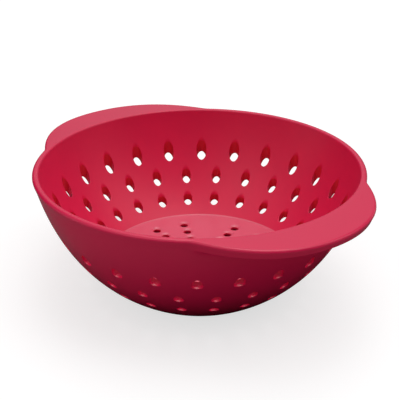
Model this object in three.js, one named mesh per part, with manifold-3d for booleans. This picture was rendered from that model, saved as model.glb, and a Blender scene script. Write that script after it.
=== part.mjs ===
import * as THREE from 'three';
import { mergeVertices } from 'three/addons/utils/BufferGeometryUtils.js';
import Module from 'manifold-3d';

// Kitchen colander: a round perforated bowl with two flat ear handles in line
// with its rim, a flat drain plate seated inside and a plain foot below it.
// Millimetres, +Z up, ears along X, standing face at z = 0.

const wasm = await Module();
wasm.setup();

// Bowl shell: the outside is one curve from the foot edge up to the rim.
const bowlHeight = 93.5;
const rimRadius = 120;
const footRadius = 57.7;
const footEdgeHeight = 0.8;
const bellyRadius = 105.3;
const bellyHeight = 29.6;
const wallThickness = 4.3;

// Rim band: the top strip of the shell that carries the rounded lip and the ears.
const rimBandHeight = 14;
const lipInnerRounding = 1.3;
const lipOuterRounding = 2;

// Ear handles: plan outline as one curve from the rim to the tip, mirrored.
// The shoulder is the point that the curve leans towards between root and tip.
// The top falls by the droop from the rim to the tip; the thickness is taken at the rim.
const earOverhang = 23.8;
const earTipFullness = 43.3;
const earHalfAngle = THREE.MathUtils.degToRad(39);
const earShoulderSetback = 2.8;
const earShoulderDrop = 11.8;
const earThickness = 8;
const earDroop = 0.8;
const earNoseRounding = 1.4;
const earRootDrop = 0.5;
const earFilletRadius = 2.5;

// Drain plate and the seat it rests on.
const plateTopHeight = 17;
const plateThickness = 3;
const plateClearance = 0.3;
const seatWidth = 3.2;
const standingFaceWidth = 4.3;

// Drain holes: all run straight up and down. A wall hole has a domed lower end centred
// just inside the outer face, so it breaks out as a small round opening.
const holesPerRow = 24;
const wallHoleRadius = 3.7;
const wallHoleDomeRise = 0.5;
const wallRows = [
  { height: 52.1, turn: 0.5 },
  { height: 35.8, turn: 0 },
  { height: 21.3, turn: 0 },
];
const plateHoleRadius = 3;
const plateHolePitch = 12;
const plateHoleMargin = 15.7;
const plateSpreadAngle = THREE.MathUtils.degToRad(24);
const plateHolesOnAxis = 4;
const plateHolesOnSide = 3;

// Facet counts and fineness.
const turnFacets = 96;
const holeFacets = 12;
const domeFacets = 3;
const wallSteps = 5;
const footSteps = 3;
const curveHalvings = 40;
const mergeDistance = 1e-4;
const earSections = 12;
const roundingSteps = 3;

const plateUndersideHeight = plateTopHeight - plateThickness;
const bandHeight = bowlHeight - rimBandHeight;

const shellColour = 0xc3254a;
const plateColour = 0xcb3355;

const outerCurve = new THREE.QuadraticBezierCurve(
  new THREE.Vector2(footRadius, footEdgeHeight),
  new THREE.Vector2(bellyRadius, bellyHeight),
  new THREE.Vector2(rimRadius, bowlHeight),
);

function outerPoint(t) {
  return outerCurve.getPoint(t);
}

function innerPoint(t) {
  const point = outerCurve.getPoint(t);
  const along = outerCurve.getTangent(t);
  return point.add(new THREE.Vector2(-along.y, along.x).multiplyScalar(wallThickness));
}

// Radius of a shell surface at one height, found by halving the curve's span.
function radiusAt(surfacePoint, height) {
  let low = 0;
  let high = 1;
  for (let i = 0; i < curveHalvings; i += 1) {
    const middle = (low + high) / 2;
    if (surfacePoint(middle).y < height) {
      low = middle;
    } else {
      high = middle;
    }
  }
  return surfacePoint(high).x;
}

const outerRadiusAt = (height) => radiusAt(outerPoint, height);
const innerRadiusAt = (height) => radiusAt(innerPoint, height);

// Points up one shell surface between two heights, both ends included.
function surfaceRun(radiusOf, fromHeight, toHeight, steps) {
  const points = [];
  for (let i = 0; i <= steps; i += 1) {
    const height = THREE.MathUtils.lerp(fromHeight, toHeight, i / steps);
    points.push(new THREE.Vector2(radiusOf(height), height));
  }
  return points;
}

// A full turn of a closed section, stood upright.
function turned(section) {
  const closed = [...section, section[0].clone()];
  return new THREE.LatheGeometry(closed, turnFacets).rotateX(Math.PI / 2);
}

// A part turn through a list of angles, one section per angle, both ends capped.
function partTurn(angles, sectionAt) {
  const sections = angles.map(sectionAt);
  const count = sections[0].length;
  const positions = [];
  const index = [];
  sections.forEach((section, i) => {
    section.forEach((point) => {
      positions.push(point.x * Math.cos(angles[i]), point.x * Math.sin(angles[i]), point.y);
    });
  });
  for (let i = 0; i < angles.length - 1; i += 1) {
    for (let j = 0; j < count; j += 1) {
      const here = i * count + j;
      const next = i * count + ((j + 1) % count);
      index.push(here, next + count, next, here, here + count, next + count);
    }
  }
  const lastStart = (angles.length - 1) * count;
  THREE.ShapeUtils.triangulateShape(sections[0], []).forEach(([a, b, c]) => {
    index.push(a, b, c);
  });
  THREE.ShapeUtils.triangulateShape(sections[angles.length - 1], []).forEach(([a, b, c]) => {
    index.push(lastStart + a, lastStart + c, lastStart + b);
  });
  const geometry = new THREE.BufferGeometry();
  geometry.setAttribute('position', new THREE.Float32BufferAttribute(positions, 3));
  geometry.setIndex(index);
  return geometry;
}

function toManifold(geometry) {
  const bare = geometry.clone();
  bare.deleteAttribute('normal');
  bare.deleteAttribute('uv');
  const merged = mergeVertices(bare, mergeDistance);
  return new wasm.Manifold(new wasm.Mesh({
    numProp: 3,
    vertProperties: new Float32Array(merged.attributes.position.array),
    triVerts: new Uint32Array(merged.index.array),
  }));
}

function toGeometry(manifold) {
  const mesh = manifold.getMesh();
  const geometry = new THREE.BufferGeometry();
  geometry.setAttribute('position', new THREE.BufferAttribute(mesh.vertProperties, 3));
  geometry.setIndex(new THREE.BufferAttribute(mesh.triVerts, 1));
  return geometry;
}

// Cuts one upright pin shape out of a blank at each of the given places.
function drilled(blank, pin, places) {
  let body = toManifold(blank);
  const upright = pin.clone().rotateX(Math.PI / 2);
  places.forEach((place) => {
    body = body.subtract(toManifold(upright.clone().translate(place.x, place.y, place.z)));
  });
  return toGeometry(body);
}

function polarPoint(radius, angle, height) {
  return new THREE.Vector3(radius * Math.cos(angle), radius * Math.sin(angle), height);
}

// Perforated wall between the plate seat and the rim band.
function bowlWall() {
  const section = [
    ...surfaceRun(outerRadiusAt, plateUndersideHeight, bandHeight, wallSteps),
    ...surfaceRun(innerRadiusAt, plateTopHeight, bandHeight, wallSteps).reverse(),
    new THREE.Vector2(innerRadiusAt(plateUndersideHeight), plateUndersideHeight),
  ];
  const pin = new THREE.CapsuleGeometry(wallHoleRadius, bowlHeight, domeFacets, holeFacets);
  const places = [];
  wallRows.forEach((row) => {
    const middleHeight = row.height + wallHoleDomeRise + bowlHeight / 2;
    for (let i = 0; i < holesPerRow; i += 1) {
      const angle = ((i + row.turn) * 2 * Math.PI) / holesPerRow;
      places.push(polarPoint(outerRadiusAt(row.height), angle, middleHeight));
    }
  });
  return drilled(turned(section), pin, places);
}

// Foot below the wall: carries the flat seat on top and the standing face below.
function footRing() {
  const seatInnerRadius = innerRadiusAt(plateUndersideHeight) - seatWidth;
  const standingOuterRadius = footRadius - footEdgeHeight;
  const section = [
    new THREE.Vector2(standingOuterRadius, 0),
    ...surfaceRun(outerRadiusAt, footEdgeHeight, plateUndersideHeight, footSteps),
    new THREE.Vector2(seatInnerRadius, plateUndersideHeight),
    new THREE.Vector2(standingOuterRadius - standingFaceWidth, 0),
  ];
  return turned(section);
}

// Drain plate: its edge follows the taper of the wall with a small clearance.
function drainPlate() {
  const section = [
    new THREE.Vector2(0, plateUndersideHeight),
    new THREE.Vector2(innerRadiusAt(plateUndersideHeight) - plateClearance, plateUndersideHeight),
    new THREE.Vector2(innerRadiusAt(plateTopHeight) - plateClearance, plateTopHeight),
    new THREE.Vector2(0, plateTopHeight),
  ];
  const blank = new THREE.LatheGeometry(section, turnFacets).rotateX(Math.PI / 2);
  const pin = new THREE.CylinderGeometry(
    plateHoleRadius, plateHoleRadius, 2 * plateThickness, holeFacets,
  );
  const outerHoleRadius = innerRadiusAt(plateTopHeight) - plateHoleMargin;
  const places = [];
  for (let quarter = 0; quarter < 4; quarter += 1) {
    for (let line = -1; line <= 1; line += 1) {
      const angle = (quarter * Math.PI) / 2 + line * plateSpreadAngle;
      const holes = line === 0 ? plateHolesOnAxis : plateHolesOnSide;
      for (let i = 0; i < holes; i += 1) {
        places.push(polarPoint(outerHoleRadius - i * plateHolePitch, angle, plateTopHeight));
      }
    }
  }
  return drilled(blank, pin, places);
}

// Quarter round between two directions, as points about a centre.
function rounding(centreX, centreY, radiusX, radiusY, fromAngle, toAngle) {
  const points = [];
  for (let i = 0; i <= roundingSteps; i += 1) {
    const angle = THREE.MathUtils.lerp(fromAngle, toAngle, i / roundingSteps);
    points.push(new THREE.Vector2(
      centreX + radiusX * Math.cos(angle),
      centreY + radiusY * Math.sin(angle),
    ));
  }
  return points;
}

const quarterTurn = Math.PI / 2;

// The two rounded edges of the lip, the outer one pushed out and down by the overhang.
function lipPoints(overhang) {
  const innerHeight = bowlHeight - lipInnerRounding;
  const innerCentre = innerRadiusAt(innerHeight) + lipInnerRounding;
  const outerHeight = bowlHeight - lipOuterRounding - (earDroop * overhang) / earOverhang;
  const outerCentre = rimRadius + overhang - lipOuterRounding;
  return {
    inner: rounding(
      innerCentre, innerHeight, lipInnerRounding, lipInnerRounding, quarterTurn, 2 * quarterTurn,
    ),
    outer: rounding(outerCentre, outerHeight, lipOuterRounding, lipOuterRounding, 0, quarterTurn),
  };
}

function rimSection() {
  const lip = lipPoints(0);
  return [
    new THREE.Vector2(outerRadiusAt(bandHeight), bandHeight),
    ...lip.outer,
    ...lip.inner,
    new THREE.Vector2(innerRadiusAt(bandHeight), bandHeight),
  ];
}

// Ear section: flat top, rounded nose, underside running into the wall by a fillet.
function earSection(overhang) {
  const lip = lipPoints(overhang);
  const noseDepth = Math.min(earNoseRounding, overhang / 2);
  const filletDepth = Math.min(earFilletRadius, overhang / 2);
  const noseHeight = bowlHeight - earThickness + earNoseRounding;
  const filletHeight = bowlHeight - earThickness - earRootDrop - earFilletRadius;
  const fillet = rounding(
    filletDepth, filletHeight, filletDepth, earFilletRadius, 2 * quarterTurn, quarterTurn,
  );
  const nose = rounding(
    overhang - noseDepth, noseHeight, noseDepth, earNoseRounding, -quarterTurn, 0,
  );
  const underside = [...fillet, ...nose].map((point) => (
    new THREE.Vector2(outerRadiusAt(point.y) + point.x, point.y)
  ));
  return [
    new THREE.Vector2(outerRadiusAt(bandHeight), bandHeight),
    ...underside,
    ...lip.outer,
    ...lip.inner,
    new THREE.Vector2(innerRadiusAt(bandHeight), bandHeight),
  ];
}

// One ear with its own stretch of the rim, along +X.
function earHandle() {
  const root = new THREE.Vector2(rimRadius, 0).rotateAround(new THREE.Vector2(), earHalfAngle);
  const tip = new THREE.Vector2(rimRadius + earOverhang, 0);
  const outline = new THREE.CubicBezierCurve(
    root,
    new THREE.Vector2(rimRadius - earShoulderSetback, root.y - earShoulderDrop),
    new THREE.Vector2(tip.x, earTipFullness),
    tip,
  );
  const half = outline.getPoints(earSections);
  const mirrored = half.slice(0, -1).map((point) => new THREE.Vector2(point.x, -point.y));
  const edge = [...mirrored, ...half.reverse()];
  const angles = edge.map((point) => Math.atan2(point.y, point.x));
  return partTurn(angles, (angle, i) => earSection(Math.max(edge[i].length() - rimRadius, 0)));
}

// Plain rim between the two ears, on the +Y side.
function rimArc() {
  const span = Math.PI - 2 * earHalfAngle;
  const steps = Math.round((turnFacets * span) / (2 * Math.PI));
  const angles = [];
  for (let i = 0; i <= steps; i += 1) {
    angles.push(earHalfAngle + (span * i) / steps);
  }
  return partTurn(angles, rimSection);
}

const part = new THREE.Group();
part.name = 'colander';

function addPiece(name, geometry, colour) {
  const material = new THREE.MeshStandardMaterial({ color: colour, roughness: 0.3, metalness: 0 });
  const mesh = new THREE.Mesh(geometry, material);
  mesh.name = name;
  part.add(mesh);
}

addPiece('foot_ring', footRing(), shellColour);
addPiece('bowl_wall', bowlWall(), shellColour);
addPiece('drain_plate', drainPlate(), plateColour);
addPiece('rim_back', rimArc(), shellColour);
addPiece('rim_front', rimArc().rotateZ(Math.PI), shellColour);
addPiece('ear_right', earHandle(), shellColour);
addPiece('ear_left', earHandle().rotateZ(Math.PI), shellColour);

export default part;
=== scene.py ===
import math
import bpy
import numpy as np
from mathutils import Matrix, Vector


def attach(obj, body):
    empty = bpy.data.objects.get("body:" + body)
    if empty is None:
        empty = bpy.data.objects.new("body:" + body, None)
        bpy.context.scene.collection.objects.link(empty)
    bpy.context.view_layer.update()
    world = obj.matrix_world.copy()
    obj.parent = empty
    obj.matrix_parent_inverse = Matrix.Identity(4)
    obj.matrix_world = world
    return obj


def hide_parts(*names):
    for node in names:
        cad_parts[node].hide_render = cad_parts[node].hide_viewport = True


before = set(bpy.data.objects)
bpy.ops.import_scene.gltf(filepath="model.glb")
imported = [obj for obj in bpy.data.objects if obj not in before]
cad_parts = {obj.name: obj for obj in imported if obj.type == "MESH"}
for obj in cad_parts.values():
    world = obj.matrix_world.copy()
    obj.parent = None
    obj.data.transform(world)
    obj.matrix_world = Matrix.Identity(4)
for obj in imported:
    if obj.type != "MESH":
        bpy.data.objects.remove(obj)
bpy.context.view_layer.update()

# Foot ring: the plain lower end of the moulded bowl, crimson plastic with a satin gloss.
# It is moulded in one with the wall above, stands on a narrow flat face, and has a level seat inside
# that the drain plate rests on. Sizes are in millimetres until a mesh is made.
FOOT_RADIUS, FOOT_EDGE_Z = 57.7, 0.8
BELLY_RADIUS, BELLY_Z = 105.3, 29.6
RIM_RADIUS, BOWL_Z = 120.0, 93.5
WALL = 4.3
SEAT_Z, SEAT_WIDTH = 14.0, 3.2
STANDING_WIDTH, STANDING_EASE = 4.3, 2.2
STANDING_ROUNDING, SEAT_ROUNDING = 1.2, 0.8
TURN_STEPS, BEND_STEPS, CURVE_POINTS = 240, 8, 4001

t = np.linspace(0, 1, CURVE_POINTS)[:, None]
ends = [np.array(p) for p in ((FOOT_RADIUS, FOOT_EDGE_Z), (BELLY_RADIUS, BELLY_Z), (RIM_RADIUS, BOWL_Z))]
OUTER = (1 - t) ** 2 * ends[0] + 2 * t * (1 - t) * ends[1] + t ** 2 * ends[2]
tangent = (1 - t) * (ends[1] - ends[0]) + t * (ends[2] - ends[1])
tangent /= np.linalg.norm(tangent, axis=1)[:, None]
INWARD = np.column_stack([-tangent[:, 1], tangent[:, 0]])
INNER = OUTER + WALL * INWARD


def shell(face, value, by="z"):
    """Radius, height and outward normal of the shell's outer or inner face at a height or a radius."""
    points, sign = (INNER, 1) if face == "inner" else (OUTER, -1)
    key = points[:, 1 if by == "z" else 0]
    at = [np.interp(value, key, column) for column in (*points.T, *(sign * INWARD).T)]
    return np.stack(at[:2], -1), np.stack(at[2:], -1)


class Skin:
    """Collects sheets of points with their true surface normals and closes them into one mesh."""

    def __init__(self):
        self.points, self.normals, self.faces, self.count = [], [], [], 0

    def sheet(self, p, n):
        """A grid of points joined by four-sided faces."""
        rows, columns = p.shape[:2]
        index = self.count + np.arange(rows * columns).reshape(rows, columns)
        quads = np.stack([index[:-1, :-1], index[1:, :-1], index[1:, 1:], index[:-1, 1:]], -1)
        self.points.append(p.reshape(-1, 3))
        self.normals.append(np.broadcast_to(n, p.shape).reshape(-1, 3))
        self.faces.append(quads.reshape(-1, 4))
        self.count += rows * columns

    def turn(self, rz, nrz, start=0, steps=None, full=TURN_STEPS):
        """A profile of radius and height turned about the bowl's axis, all round or by some steps."""
        angle = np.radians((start + np.arange((steps or full) + 1)) * 360 / full)
        spin = np.stack([np.cos(angle), np.sin(angle)], -1)
        rz, nrz = np.asarray(rz, float), np.broadcast_to(nrz, np.shape(rz))
        p, n = [np.concatenate([a[:, None, :1] * spin, np.repeat(a[:, None, 1:], len(spin), 1)], 2)
                for a in (rz, nrz)]
        self.sheet(p, n)

    def cap(self, polygon, normal):
        """One flat face with many sides."""
        self.points.append(polygon)
        self.normals.append(np.broadcast_to(normal, polygon.shape))
        self.faces.append(self.count + np.arange(len(polygon))[None])
        self.count += len(polygon)

    def close(self, name, material):
        """Joins the points that meet, turns every face to its normals, and makes the mesh in metres."""
        p, n = np.concatenate(self.points), np.concatenate(self.normals)
        n = n / np.maximum(np.linalg.norm(n, axis=1), 1e-9)[:, None]
        kept, first = np.unique(np.round(p, 3), axis=0, return_inverse=True)
        first = first.reshape(-1)
        polygons, corner_normals = [], []
        for group in self.faces:
            a, b = p[group[:, group.shape[1] // 2]] - p[group[:, 0]], p[group[:, -1]] - p[group[:, 1]]
            turned = (np.cross(a, b) * n[group].sum(1)).sum(1) < 0
            if group.shape[1] > 4:
                area = sum(np.cross(p[group[0, i - 1]], p[group[0, i]]) for i in range(group.shape[1]))
                turned = np.array([area @ n[group[0, 0]] < 0])
            group[turned] = group[turned, ::-1]
            for face, merged in zip(group, first[group]):
                ring = [i for i in range(len(merged)) if merged[i] != merged[i - 1]]
                if len({merged[i] for i in ring}) > 2:
                    polygons.append([int(merged[i]) for i in ring])
                    corner_normals.extend(n[face[i]] for i in ring)
        mesh = bpy.data.meshes.new(name)
        mesh.from_pydata(kept / 1000, [], polygons)
        mesh.polygons.foreach_set("use_smooth", np.ones(len(polygons), bool))
        mesh.normals_split_custom_set([tuple(v) for v in corner_normals])
        mesh.materials.append(material)
        piece = bpy.data.objects.new(name, mesh)
        bpy.context.scene.collection.objects.link(piece)
        return piece


def bend(start, corner, end):
    """A rounded corner that turns to the right as it goes, with the normals on its left."""
    s = np.linspace(0, 1, BEND_STEPS)[:, None]
    start, corner, end = map(np.array, (start, corner, end))
    p = (1 - s) ** 2 * start + 2 * s * (1 - s) * corner + s ** 2 * end
    d = (1 - s) * (corner - start) + s * (end - corner)
    return p, np.column_stack([-d[:, 1], d[:, 0]]) / np.linalg.norm(d, axis=1)[:, None]


# Plastic of the bowl's pieces: dyed through and off a polished mould, glossy outside and more satin inside.
# The upright walls in the wall's holes are painted darker and browner, a painted shade for these deep
# grooves.
# A fine mould texture and a faintly uneven tone and gloss break up the plain colour.
BOWL_COLOUR, GROOVE_SHADE_COLOUR = (0.82, 0.012, 0.085), (0.7, 0.012, 0.035)


def node(tree, kind, inputs=None, operation=None):
    """A shader node with its inputs set to plain values, or linked where a socket is given."""
    made = tree.nodes.new(kind)
    if operation:
        made.operation = operation
    for key, value in (inputs or {}).items():
        if isinstance(value, bpy.types.NodeSocket):
            tree.links.new(value, made.inputs[key])
        else:
            made.inputs[key].default_value = value
    return made


detail = bpy.data.node_groups.new("moulded_detail", "ShaderNodeTree")
for socket in ("Tone", "Roughness", "Upward", "Groove"):
    detail.interface.new_socket(socket, in_out="OUTPUT", socket_type="NodeSocketFloat")
detail.interface.new_socket("Normal", in_out="OUTPUT", socket_type="NodeSocketVector")
place = node(detail, "ShaderNodeTexCoord")
position, normal = place.outputs["Object"], place.outputs["Normal"]
cloud = node(detail, "ShaderNodeTexNoise", {"Vector": position, "Scale": 22, "Detail": 3})
tone = node(detail, "ShaderNodeMapRange", {"Value": cloud.outputs["Fac"], "To Min": 0.95, "To Max": 1.05})
grain = node(detail, "ShaderNodeTexNoise", {"Vector": position, "Scale": 850, "Detail": 2})
peel = node(detail, "ShaderNodeBump", {"Height": grain.outputs["Fac"], "Strength": 0.06, "Distance": 0.0002})
smear = node(detail, "ShaderNodeTexNoise", {"Vector": position, "Scale": 14, "Detail": 2})
gloss = node(detail, "ShaderNodeMapRange", {"Value": smear.outputs["Fac"], "To Min": 0.18, "To Max": 0.26})
level = node(detail, "ShaderNodeVectorMath", {0: position, 1: (1, 1, 0)}, "MULTIPLY")
faces_out = node(detail, "ShaderNodeVectorMath", {0: level.outputs["Vector"], 1: normal}, "DOT_PRODUCT")
inside = node(detail, "ShaderNodeMath", {0: faces_out.outputs["Value"], 1: -0.03}, "LESS_THAN").outputs[0]
satin = node(detail, "ShaderNodeMath", {0: inside, 1: 0.2, 2: gloss.outputs["Result"]}, "MULTIPLY_ADD")
# Faces turned upward, where the plate's paler painted sheen goes.
tilt = node(detail, "ShaderNodeSeparateXYZ", {0: normal}).outputs["Z"]
upward = node(detail, "ShaderNodeMapRange", {"Value": tilt, "From Min": 0.45, "From Max": 0.85})
steepness = node(detail, "ShaderNodeMath", {0: tilt}, "ABSOLUTE")
upright = node(detail, "ShaderNodeMapRange", {"Value": steepness.outputs[0], "From Min": 0.04,
                                              "From Max": 0.16, "To Min": 1, "To Max": 0})
# Upright inner walls of the holes, where the darker, browner painted shade goes.
groove = node(detail, "ShaderNodeMath", {0: upright.outputs["Result"], 1: inside}, "MULTIPLY")
node(detail, "NodeGroupOutput", {"Tone": tone.outputs["Result"], "Roughness": satin.outputs[0],
                                 "Upward": upward.outputs["Result"], "Groove": groove.outputs[0],
                                 "Normal": peel.outputs["Normal"]})


def plastic(name, colour, mask, masked_colour):
    """Moulded plastic whose colour turns to a second one where the named mask of the detail group is 1."""
    material = bpy.data.materials.new(name)
    material.use_nodes = True
    tree = material.node_tree
    shader = tree.nodes["Principled BSDF"]
    look = tree.nodes.new("ShaderNodeGroup")
    look.node_tree = detail
    dye = tree.nodes.new("ShaderNodeMix")
    dye.data_type = "RGBA"
    dye.blend_type = "MULTIPLY"
    dye.inputs["Factor"].default_value = 1.0
    blend = tree.nodes.new("ShaderNodeMix")
    blend.data_type = "RGBA"
    blend.inputs[6].default_value = (*colour, 1)
    blend.inputs[7].default_value = (*masked_colour, 1)
    tree.links.new(look.outputs[mask], blend.inputs["Factor"])
    tree.links.new(blend.outputs[2], dye.inputs[6])
    tree.links.new(look.outputs["Tone"], dye.inputs[7])
    tree.links.new(dye.outputs[2], shader.inputs["Base Color"])
    tree.links.new(look.outputs["Roughness"], shader.inputs["Roughness"])
    tree.links.new(look.outputs["Normal"], shader.inputs["Normal"])
    shader.inputs["IOR"].default_value = 1.5
    return material


# The upright walls in the holes take the darker groove colour, a painted shade.
bowl_plastic = plastic("bowl_plastic", BOWL_COLOUR, "Groove", GROOVE_SHADE_COLOUR)

foot = Skin()
foot.turn(*shell("outer", np.linspace(FOOT_EDGE_Z, SEAT_Z, 2 * BEND_STEPS)))
ease = FOOT_EDGE_Z * (BELLY_RADIUS - FOOT_RADIUS) / (BELLY_Z - FOOT_EDGE_Z)
stand_outer = FOOT_RADIUS - STANDING_EASE * ease
stand_inner = FOOT_RADIUS - FOOT_EDGE_Z - STANDING_WIDTH
seat_outer = shell("inner", SEAT_Z)[0][0]
seat_inner = seat_outer - SEAT_WIDTH
slope = np.array((seat_inner - stand_inner, SEAT_Z))
slope /= np.linalg.norm(slope)
low_end = np.array((stand_inner, 0)) + STANDING_ROUNDING * slope
stand_round = stand_inner + STANDING_ROUNDING
high_end = np.array((seat_inner, SEAT_Z)) - SEAT_ROUNDING * slope
seat_round = seat_inner + SEAT_ROUNDING
foot.turn(*bend((FOOT_RADIUS, FOOT_EDGE_Z), (FOOT_RADIUS - ease, 0), (stand_outer, 0)))
foot.turn([(stand_outer, 0), (stand_round, 0)], (0, -1))
foot.turn(*bend((stand_round, 0), (stand_inner, 0), low_end))
foot.turn(np.linspace(low_end, high_end, BEND_STEPS + 2), (-slope[1], slope[0]))
foot.turn(*bend(high_end, (seat_inner, SEAT_Z), (seat_round, SEAT_Z)))
foot.turn([(seat_round, SEAT_Z), (seat_outer, SEAT_Z), shell("outer", SEAT_Z)[0]], (0, 1))
foot_ring = foot.close("foot_ring_skin", bowl_plastic)
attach(foot_ring, "root")
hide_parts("foot_ring")

# Bowl wall: the perforated shell, moulded in one with the foot and the rim from the same crimson plastic.
# Its drain holes are upright, the way the mould opens, so each cuts the sloping wall as a long groove
# inside, and every hole edge has a small rounding.
BAND_Z = 79.5
ROWS = ((21.3, 0.0, 3.45), (35.8, 0.0, 3.5), (52.2, 0.5, 4.05))
HOLES, HOLE_DEPTH, DOME = 24, 3.3, (0.5, 2.4)
HOLE_ROUNDING = ((1.8, 0.6, 2.4), 0.25)
PLAIN_EDGE = (1, 2 / 3)
LIMITS, WAVE = (77.8, 89.3, 100.3, 110.8), 1.2
SIDE_STEPS, EDGE_STEPS, FACE_STEPS, HALVINGS = TURN_STEPS // HOLES, 8, 6, 40


def limit(i, theta):
    """Plan radius of the line between two rows of holes; it waves where the rows are staggered."""
    return LIMITS[i] + (WAVE * np.cos(HOLES * theta) if i == 2 else 0 * theta)


def lift(face, xy):
    """Plan points set on a face of revolution, with that face's normals."""
    r = np.linalg.norm(xy, axis=-1)[..., None]
    z, n = face(r[..., 0])
    return np.concatenate([xy, z[..., None]], -1), np.concatenate([n[..., :1] * xy / r, n[..., 1:]], -1)


def holed_cell(skin, top, low, centre, angle, half, inner, outer, size, rounding, side, dome=None,
               bevel=PLAIN_EDGE):
    """One stretch of wall or floor round an upright hole: both faces, rounded edges and the hole's own wall.

    size is the hole's half width round the bowl and out from it. The upper edge is rounded by three amounts:
    nearest the bowl's middle, at the sides and farthest out. With a dome, given by its height and depth,
    the hole ends below in a dish that breaks out through the low face. A bevel, given by its depth over its
    width and by how round its ends are, makes the upper edge a shallow cone."""
    th = angle + half * np.linspace(-1, 1, side + 1)
    a, b = inner(th), outer(th)
    ring_th = np.concatenate([th[:-1], np.full(side, th[-1]), th[:0:-1], np.full(side + 1, th[0])])
    ring_r = np.concatenate([a[:-1], np.linspace(a[-1], b[-1], side + 1)[:-1], b[:0:-1],
                             np.linspace(b[0], a[0], side + 1)])
    border = np.stack([ring_r * np.cos(ring_th), ring_r * np.sin(ring_th)], -1)
    psi = np.linspace(-0.75 * np.pi, 1.25 * np.pi, 4 * side + 1)[:, None]
    outward = np.array((math.cos(angle), math.sin(angle)))
    along = np.array((-outward[1], outward[0]))
    middle = centre * outward
    reach = size[0] * np.cos(psi) * along + size[1] * np.sin(psi) * outward
    away = np.cos(psi) / size[0] * along + np.sin(psi) / size[1] * outward
    away /= np.linalg.norm(away, axis=1)[:, None]
    dome_z, depth = dome or (0, 1)
    gamma = np.zeros(len(psi))
    if dome:
        limits = [np.zeros(len(psi)), np.full(len(psi), np.pi / 2)]
        for _ in range(HALVINGS):
            gamma = sum(limits) / 2
            face_z = lift(low, middle + np.cos(gamma)[:, None] * reach)[0][:, 2]
            within = dome_z - depth * np.sin(gamma) > face_z
            limits = [np.where(within, gamma, limits[0]), np.where(within, limits[1], gamma)]
        gamma = np.where(limits[0] > 1e-6, limits[0], 0)
    low_edge = lift(low, middle + np.cos(gamma)[:, None] * reach)[0]
    top_edge = lift(top, middle + reach)[0]
    foot_z = low_edge[:, 2] + depth * np.sin(gamma)
    length = depth * gamma + top_edge[:, 2] - foot_z

    def hole_wall(q):
        g = np.clip(gamma - q / depth, 0, None)
        z = foot_z - depth * np.sin(g) + np.clip(q - depth * gamma, 0, None)
        p = np.concatenate([middle + np.cos(g)[..., None] * reach, z[..., None]], -1)
        return p, np.concatenate([-np.cos(g)[..., None] * away, np.sin(g)[..., None] * size[1] / depth], -1)

    near, beside, far = rounding[0]
    lean = np.sin(psi[:, 0])
    top_soft = np.where(lean < 0, beside + (beside - near) * lean, beside + (far - beside) * lean ** 3)
    low_soft = np.full(len(psi), rounding[1])
    tau = np.linspace(0, 1, EDGE_STEPS)[:, None, None]
    spread = np.linspace(0, 1, FACE_STEPS)[:, None, None]
    top_drop = bevel[0] * top_soft
    for face, edge, soft, drop, q, round_ends in (
            (top, top_edge, top_soft, top_drop, length - top_drop, bevel[1]),
            (low, low_edge, low_soft, low_soft, low_soft, PLAIN_EDGE[1])):
        n = lift(face, edge[:, :2])[1]
        climb = -(n[:, :2] * away).sum(1) / n[:, 2]
        start = edge[:, :2] + (soft / np.sqrt(1 + climb ** 2))[:, None] * away
        on_face, face_n = lift(face, start)
        on_wall, wall_n = hole_wall(q)
        face_pull = on_face + round_ends * (edge - on_face)
        wall_pull = on_wall + round_ends * (edge - on_wall)
        straight = 2 * tau * (1 - tau) * (1 - round_ends)
        skin.sheet((1 - tau) ** 3 * on_face + 3 * tau * (1 - tau) ** 2 * face_pull
                   + 3 * tau ** 2 * (1 - tau) * wall_pull + tau ** 3 * on_wall,
                   soft[:, None] * (round_ends * (1 - tau) ** 2 + straight) * face_n
                   + drop[:, None] * (round_ends * tau ** 2 + straight) * wall_n)
        skin.sheet(*lift(face, start + spread * (border - start)))
    share = np.linspace(0, 1, EDGE_STEPS)[:, None]
    skin.sheet(*hole_wall(low_soft + share * (length - top_drop - low_soft)))


def wall_face(face):
    """Height and normal of one face of the shell by plan radius, as lift asks for them."""
    def at(r):
        p, n = shell(face, r, by="r")
        return p[..., 1], n
    return at


wall = Skin()
for i, (row_z, shift, half_width) in enumerate(ROWS):
    row_r = float(shell("outer", row_z)[0][0])
    for k in range(HOLES):
        holed_cell(wall, wall_face("inner"), wall_face("outer"), row_r,
                   (k + shift) * 2 * np.pi / HOLES, np.pi / HOLES,
                   lambda th, i=i: limit(i, th), lambda th, i=i: limit(i + 1, th),
                   (half_width, HOLE_DEPTH), HOLE_ROUNDING, SIDE_STEPS, (row_z + DOME[0], DOME[1]))
for face, low_steps, high_steps in (("inner", 10, 3), ("outer", 5, 8)):
    low = shell(face, SEAT_Z)[0][0]
    high = shell(face, BAND_Z)[0][0]
    wall.turn(*shell(face, np.linspace(low, LIMITS[0], low_steps), by="r"))
    wall.turn(*shell(face, np.linspace(LIMITS[-1], high, high_steps), by="r"))
for z, up in ((SEAT_Z, -1), (BAND_Z, 1)):
    wall.turn([shell("inner", z)[0], shell("outer", z)[0]], (0, up))
bowl_wall = wall.close("bowl_wall_skin", bowl_plastic)
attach(bowl_wall, "root")
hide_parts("bowl_wall")
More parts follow.
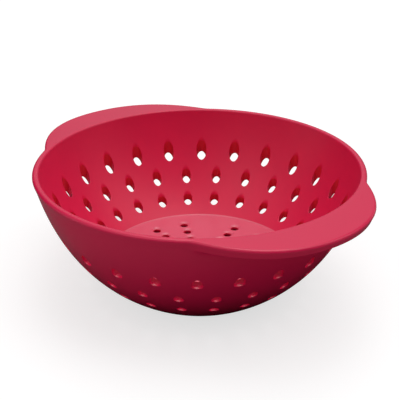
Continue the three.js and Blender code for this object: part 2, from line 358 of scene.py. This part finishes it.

# Drain plate: the flat perforated floor, crimson plastic like the bowl. Its upward faces are painted paler,
# a painted sheen of the overhead light, while its steep hole walls keep the deeper red. It lies on the seat
# inside the foot, and its edge turns up to close against the wall. The holes stand in radial lines, four
# groups of three about the ear axis and the cross axis, each with a shallow cone round its top.
PLATE_Z, PLATE_FILLET, SEAT_FIT = 17.0, 3.0, 0.05
PLATE_HOLE, PLATE_PITCH, PLATE_LINES = (2.9, 2.9), 12.0, math.radians(24)
PLATE_ROUNDING, PLATE_LOW_ROUNDING, PLATE_BEVEL = (2.6, 2.6, 2.6, 1.2), 0.4, (0.5, 0.3)
PLATE_MARGIN, PLATE_RINGS = 15.7, len(PLATE_ROUNDING)
PLATE_STEPS, PLATE_SIDE, FLAT_STEPS = TURN_STEPS // 2, 8, 6
# The second colour goes on upward faces, a painted sheen of the overhead light.
PLATE_COLOUR, PLATE_SHEEN = (0.9, 0.012, 0.07), (0.82, 0.13, 0.21)
plate = Skin()
plate_faces = [lambda r: (np.full_like(r, PLATE_Z), np.stack([0 * r, 0 * r + 1], -1)),
               lambda r: (np.full_like(r, SEAT_Z), np.stack([0 * r, 0 * r - 1], -1))]
outermost = float(shell("inner", PLATE_Z)[0][0]) - PLATE_MARGIN
for quarter in range(4):
    for i in range(PLATE_RINGS):
        centre = outermost - i * PLATE_PITCH
        low, high = centre - PLATE_PITCH / 2, centre + PLATE_PITCH / 2
        plain_cells = []
        for line in (-1, 0, 1):
            middle = quarter * np.pi / 2 + line * PLATE_LINES
            if i == PLATE_RINGS - 1 and line:
                plain_cells.append((middle, PLATE_LINES / 2))
            else:
                holed_cell(plate, *plate_faces, centre, middle, PLATE_LINES / 2,
                           lambda th, v=low: 0 * th + v, lambda th, v=high: 0 * th + v, PLATE_HOLE,
                           (3 * (PLATE_ROUNDING[i],), PLATE_LOW_ROUNDING), PLATE_SIDE, None, PLATE_BEVEL)
        plain_cells.append((quarter * np.pi / 2 + np.pi / 4, np.pi / 4 - 1.5 * PLATE_LINES))
        for middle, half in plain_cells:
            th = np.linspace(middle - half, middle + half, 1 + round(PLATE_STEPS * half / np.pi))
            r = np.linspace(low, high, PLATE_SIDE + 1)[:, None]
            flat = np.stack([r * np.cos(th), r * np.sin(th)], -1)
            for z, up in ((PLATE_Z, 1), (SEAT_Z, -1)):
                plate.sheet(np.concatenate([flat, np.full((*flat.shape[:2], 1), z)], 2), (0, 0, up))
holes_from = outermost - (PLATE_RINGS - 0.5) * PLATE_PITCH
holes_to = outermost + 0.5 * PLATE_PITCH
corner, wall_normal = shell("inner", PLATE_Z)
lean = math.atan2(-wall_normal[0], wall_normal[1])
turn_angle = np.linspace(0, lean, BEND_STEPS)
fillet_centre = np.array((corner[0] - SEAT_FIT - PLATE_FILLET * math.tan(lean / 2), PLATE_Z + PLATE_FILLET))
fillet_n = np.column_stack([-np.sin(turn_angle), np.cos(turn_angle)])
fillet_p = fillet_centre - PLATE_FILLET * fillet_n
edge_p, edge_n = shell("inner", np.linspace(fillet_p[-1, 1], SEAT_Z, FLAT_STEPS))
edge_p = edge_p - (SEAT_FIT, 0)
edge_p[0] = fillet_p[-1]
for r_from, r_to, z, up in ((0, holes_from, PLATE_Z, 1), (0, holes_from, SEAT_Z, -1),
                            (holes_to, fillet_p[0, 0], PLATE_Z, 1), (holes_to, edge_p[-1, 0], SEAT_Z, -1)):
    flat = np.column_stack([np.linspace(r_from, r_to, FLAT_STEPS), np.full(FLAT_STEPS, z)])
    plate.turn(flat, (0, up), full=PLATE_STEPS)
plate.turn(fillet_p, fillet_n, full=PLATE_STEPS)
plate.turn(edge_p, -edge_n, full=PLATE_STEPS)
# Paler colour on upward faces: a painted sheen of the overhead light.
plate_plastic = plastic("plate_plastic", PLATE_COLOUR, "Upward", PLATE_SHEEN)
drain_plate = plate.close("drain_plate_skin", plate_plastic)
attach(drain_plate, "root")
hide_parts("drain_plate")

# Rim and ear handles: the top band of the bowl, the same moulding, with a rounded lip. At each end it widens
# into a flat ear whose top falls a little to its tip; below, the ear runs into the wall by a fillet.
LIP_IN, LIP_OUT = 1.6, 2.0
EAR_OVERHANG, EAR_FULLNESS, EAR_ANGLE, EAR_END = 23.8, 43.3, 39.0, 46.0
EAR_SETBACK, EAR_DROP = 2.8, 11.8
EAR_THICK, EAR_DROOP, EAR_NOSE, EAR_ROOT, EAR_FILLET = 8.0, 0.8, 1.4, 0.5, 4.5
NOTCH, NOTCH_RUN = 0.7, 2.5
OUTLINE_LEAD, OUTLINE_POINTS, LIP_STEPS = 0.25, 1500, 10
EAR_STEPS, HALF_STEPS = round(EAR_ANGLE * TURN_STEPS / 360), TURN_STEPS // 2
angle = np.arange(TURN_STEPS) * 360 / TURN_STEPS
from_ear = np.abs((angle + 90) % 180 - 90)
base = RIM_RADIUS * np.array((math.cos(math.radians(EAR_ANGLE)), math.sin(math.radians(EAR_ANGLE))))
base_pull = np.array((RIM_RADIUS - EAR_SETBACK, base[1] - EAR_DROP))
tip = np.array((RIM_RADIUS + EAR_OVERHANG, 0))
tip_pull = tip + (0, EAR_FULLNESS)
s = np.linspace(-OUTLINE_LEAD, 1, OUTLINE_POINTS)[:, None]
outline = ((1 - s) ** 3 * base + 3 * (1 - s) ** 2 * s * base_pull
           + 3 * (1 - s) * s ** 2 * tip_pull + s ** 3 * tip)
outline_angle = np.degrees(np.arctan2(outline[:, 1], outline[:, 0]))[::-1]
outline_reach = np.hypot(outline[:, 0], outline[:, 1])[::-1] - RIM_RADIUS
plain = np.interp(from_ear, outline_angle, outline_reach)
rounded = 0.5 * (plain + np.sqrt(plain ** 2 + NOTCH ** 2))
eased = rounded - 0.25 * NOTCH ** 2 / np.maximum(np.abs(plain), NOTCH_RUN)
overhangs = np.where(from_ear > EAR_END, 0, np.maximum(eased, 0))


def band_contour(e):
    """Section of the rim band from the joint outside, over the lip, to the joint inside."""
    nose, fillet = min(EAR_NOSE, e / 2), min(EAR_FILLET, e / 2)
    quarter = np.linspace(0, np.pi / 2, LIP_STEPS)
    low = BOWL_Z - EAR_THICK - EAR_ROOT - EAR_FILLET
    z = [np.linspace(BAND_Z, low, 5)[:-1], low + EAR_FILLET * np.sin(quarter)]
    off = [np.zeros(4), fillet * (1 - np.cos(quarter))]
    nose_z = BOWL_Z - EAR_THICK + EAR_NOSE
    run = np.linspace(0, 1, 8)[1:-1]
    z += [low + EAR_FILLET + run * EAR_ROOT, nose_z - EAR_NOSE * np.cos(quarter)]
    off += [fillet + run * (e - nose - fillet), e - nose + nose * np.sin(quarter)]
    z, off = np.concatenate(z), np.concatenate(off)
    under = np.column_stack([shell("outer", z)[0][:, 0] + off, z])
    front, front_z = RIM_RADIUS + e - LIP_OUT, BOWL_Z - LIP_OUT - EAR_DROOP * e / EAR_OVERHANG
    back_z = BOWL_Z - LIP_IN
    back = float(shell("inner", back_z)[0][0]) + LIP_IN
    outer_lip = np.column_stack([front + LIP_OUT * np.cos(quarter), front_z + LIP_OUT * np.sin(quarter)])
    inner_lip = np.column_stack([back - LIP_IN * np.sin(quarter), back_z + LIP_IN * np.cos(quarter)])
    side = np.linspace(under[-1], outer_lip[0], 5)[1:-1]
    top = np.linspace(outer_lip[-1], inner_lip[0], 10)[1:-1]
    down = shell("inner", np.linspace(back_z, BAND_Z, 8))[0][1:]
    return np.concatenate([under, side, outer_lip, top, inner_lip, down])


sections = np.array([band_contour(e) for e in overhangs])
rad = np.radians(angle)[:, None]
band = np.stack([sections[..., 0] * np.cos(rad), sections[..., 0] * np.sin(rad), sections[..., 1]], -1)
across = np.gradient(band, axis=1)
around = np.roll(band, -1, 0) - np.roll(band, 1, 0)
band_n = np.cross(around, across)
for column, face in ((0, "outer"), (-1, "inner")):
    out, up = shell(face, BAND_Z)[1]
    band_n[:, column] = np.column_stack([out * np.cos(rad), out * np.sin(rad), 0 * rad + up])
for name, start, stop in (("rim_back", EAR_STEPS, HALF_STEPS - EAR_STEPS),
                          ("rim_front", HALF_STEPS + EAR_STEPS, TURN_STEPS - EAR_STEPS),
                          ("ear_right", -EAR_STEPS, EAR_STEPS),
                          ("ear_left", HALF_STEPS - EAR_STEPS, HALF_STEPS + EAR_STEPS)):
    index = np.arange(start, stop + 1) % TURN_STEPS
    piece = Skin()
    piece.sheet(band[index], band_n[index])
    piece.turn([sections[0, 0], sections[0, -1]], (0, -1), start, stop - start)
    for i, sign in ((index[0], -1), (index[-1], 1)):
        a = math.radians(angle[i])
        piece.cap(band[i], sign * np.array((-math.sin(a), math.cos(a), 0)))
    made = piece.close(name + "_skin", bowl_plastic)
    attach(made, "root")
    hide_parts(name)

# Stage: a plain floor. To the camera it is white and keeps the colander's shadow. To the plastic it is grey,
# as a table in a dark room would be, with a painted shadow that darkens it close under the bowl, and it is
# dimmer still in the plastic's mirror.
FLOOR_REACH = 6
corners = [(x * FLOOR_REACH, y * FLOOR_REACH, 0) for x, y in ((-1, -1), (1, -1), (1, 1), (-1, 1))]
floor_mesh = bpy.data.meshes.new("floor")
floor_mesh.from_pydata(corners, [], [(0, 1, 2, 3)])
floor = bpy.data.objects.new("floor", floor_mesh)
bpy.context.scene.collection.objects.link(floor)
floor_paint = bpy.data.materials.new("floor_paint")
floor_paint.use_nodes = True
tree = floor_paint.node_tree
tree.nodes.clear()
path = node(tree, "ShaderNodeLightPath")
pale = node(tree, "ShaderNodeBsdfDiffuse", {"Color": (0.45, 0.45, 0.45, 1)})
glow = node(tree, "ShaderNodeEmission", {"Strength": 0.68})
seen = node(tree, "ShaderNodeAddShader", {0: pale.outputs[0], 1: glow.outputs[0]})
# Painted shadow: the grey that the plastic sees falls off close under the bowl.
spot = node(tree, "ShaderNodeNewGeometry")
range_out = node(tree, "ShaderNodeVectorMath", {0: spot.outputs["Position"], 1: (0.04, 0.02, 0)}, "DISTANCE")
painted_shadow_fade = node(tree, "ShaderNodeMapRange", {"Value": range_out.outputs["Value"], "From Min": 0.07,
                                         "From Max": 0.19, "To Min": 0.05, "To Max": 0.5})
painted_shadow_fade.interpolation_type = "SMOOTHSTEP"
dim = node(tree, "ShaderNodeMapRange", {"Value": path.outputs["Is Glossy Ray"], "To Min": 1, "To Max": 0.3})
grey = node(tree, "ShaderNodeMath", {0: painted_shadow_fade.outputs["Result"], 1: dim.outputs["Result"]}, "MULTIPLY")
bounce = node(tree, "ShaderNodeBsdfDiffuse", {"Color": grey.outputs[0]})
pick = node(tree, "ShaderNodeMixShader", {"Fac": path.outputs["Is Camera Ray"], 1: bounce.outputs[0],
                                          2: seen.outputs[0]})
node(tree, "ShaderNodeOutputMaterial", {"Surface": pick.outputs[0]})
floor_mesh.materials.append(floor_paint)

# Light: a studio tent, bright overhead with paler cards round the sides. Each lobe of light has its height
# above the table and its bearing counter-clockwise from the camera, both in degrees, then its tightness
# and its strength.
CAMERA = Vector((0.5185, -0.3858, 0.3687))
LOBES = ((90, 0, 40, 2.5), (90, 0, 3, 0.31), (68, 60, 24, 1.74), (68, 180, 24, 2.2), (42, 0, 14, 0.12),
         (42, 90, 14, 1.2), (42, 180, 14, 0.6), (42, 270, 14, 0.43), (42, 315, 14, 0.95),
         (18, 90, 20, 0.27), (18, 135, 20, 0.23), (18, 180, 20, 0.28), (3, 135, 30, 0.47),
         (3, 270, 30, 1.02))
world = bpy.data.worlds.new("studio")
bpy.context.scene.world = world
world.use_nodes = True
tree = world.node_tree
tree.nodes.clear()
where = node(tree, "ShaderNodeTexCoord").outputs["Generated"]
toward_camera = math.atan2(CAMERA.y, CAMERA.x)
total = 0
for height, bearing, tightness, strength in LOBES:
    up, turn = math.radians(height), toward_camera + math.radians(bearing)
    lobe = (math.cos(up) * math.cos(turn), math.cos(up) * math.sin(turn), math.sin(up))
    value = node(tree, "ShaderNodeVectorMath", {0: where, 1: lobe}, "DOT_PRODUCT").outputs["Value"]
    for operation, amount in (("MAXIMUM", 0), ("POWER", tightness), ("MULTIPLY", strength), ("ADD", total)):
        value = node(tree, "ShaderNodeMath", {0: value, 1: amount}, operation).outputs[0]
    total = value
room = node(tree, "ShaderNodeBackground", {"Color": (1, 1, 1, 1), "Strength": total})
node(tree, "ShaderNodeOutputWorld", {"Surface": room.outputs[0]})

# Camera: a long lens looking down into the bowl from in front and to the right, aimed near its middle.
# Its place, aim and lens follow from the ellipses of the rim and the foot.
AIM, LENS, SENSOR = Vector((0.00017, 0.00024, 0.06485)), 87.35, 36
lens = bpy.data.cameras.new("camera")
lens.lens = LENS
lens.sensor_width = SENSOR
camera = bpy.data.objects.new("camera", lens)
camera.location = CAMERA
camera.rotation_mode = "QUATERNION"
camera.rotation_quaternion = (AIM - CAMERA).to_track_quat("-Z", "Y")
bpy.context.scene.collection.objects.link(camera)
bpy.context.scene.camera = camera
bpy.context.scene.view_settings.view_transform = "Standard"
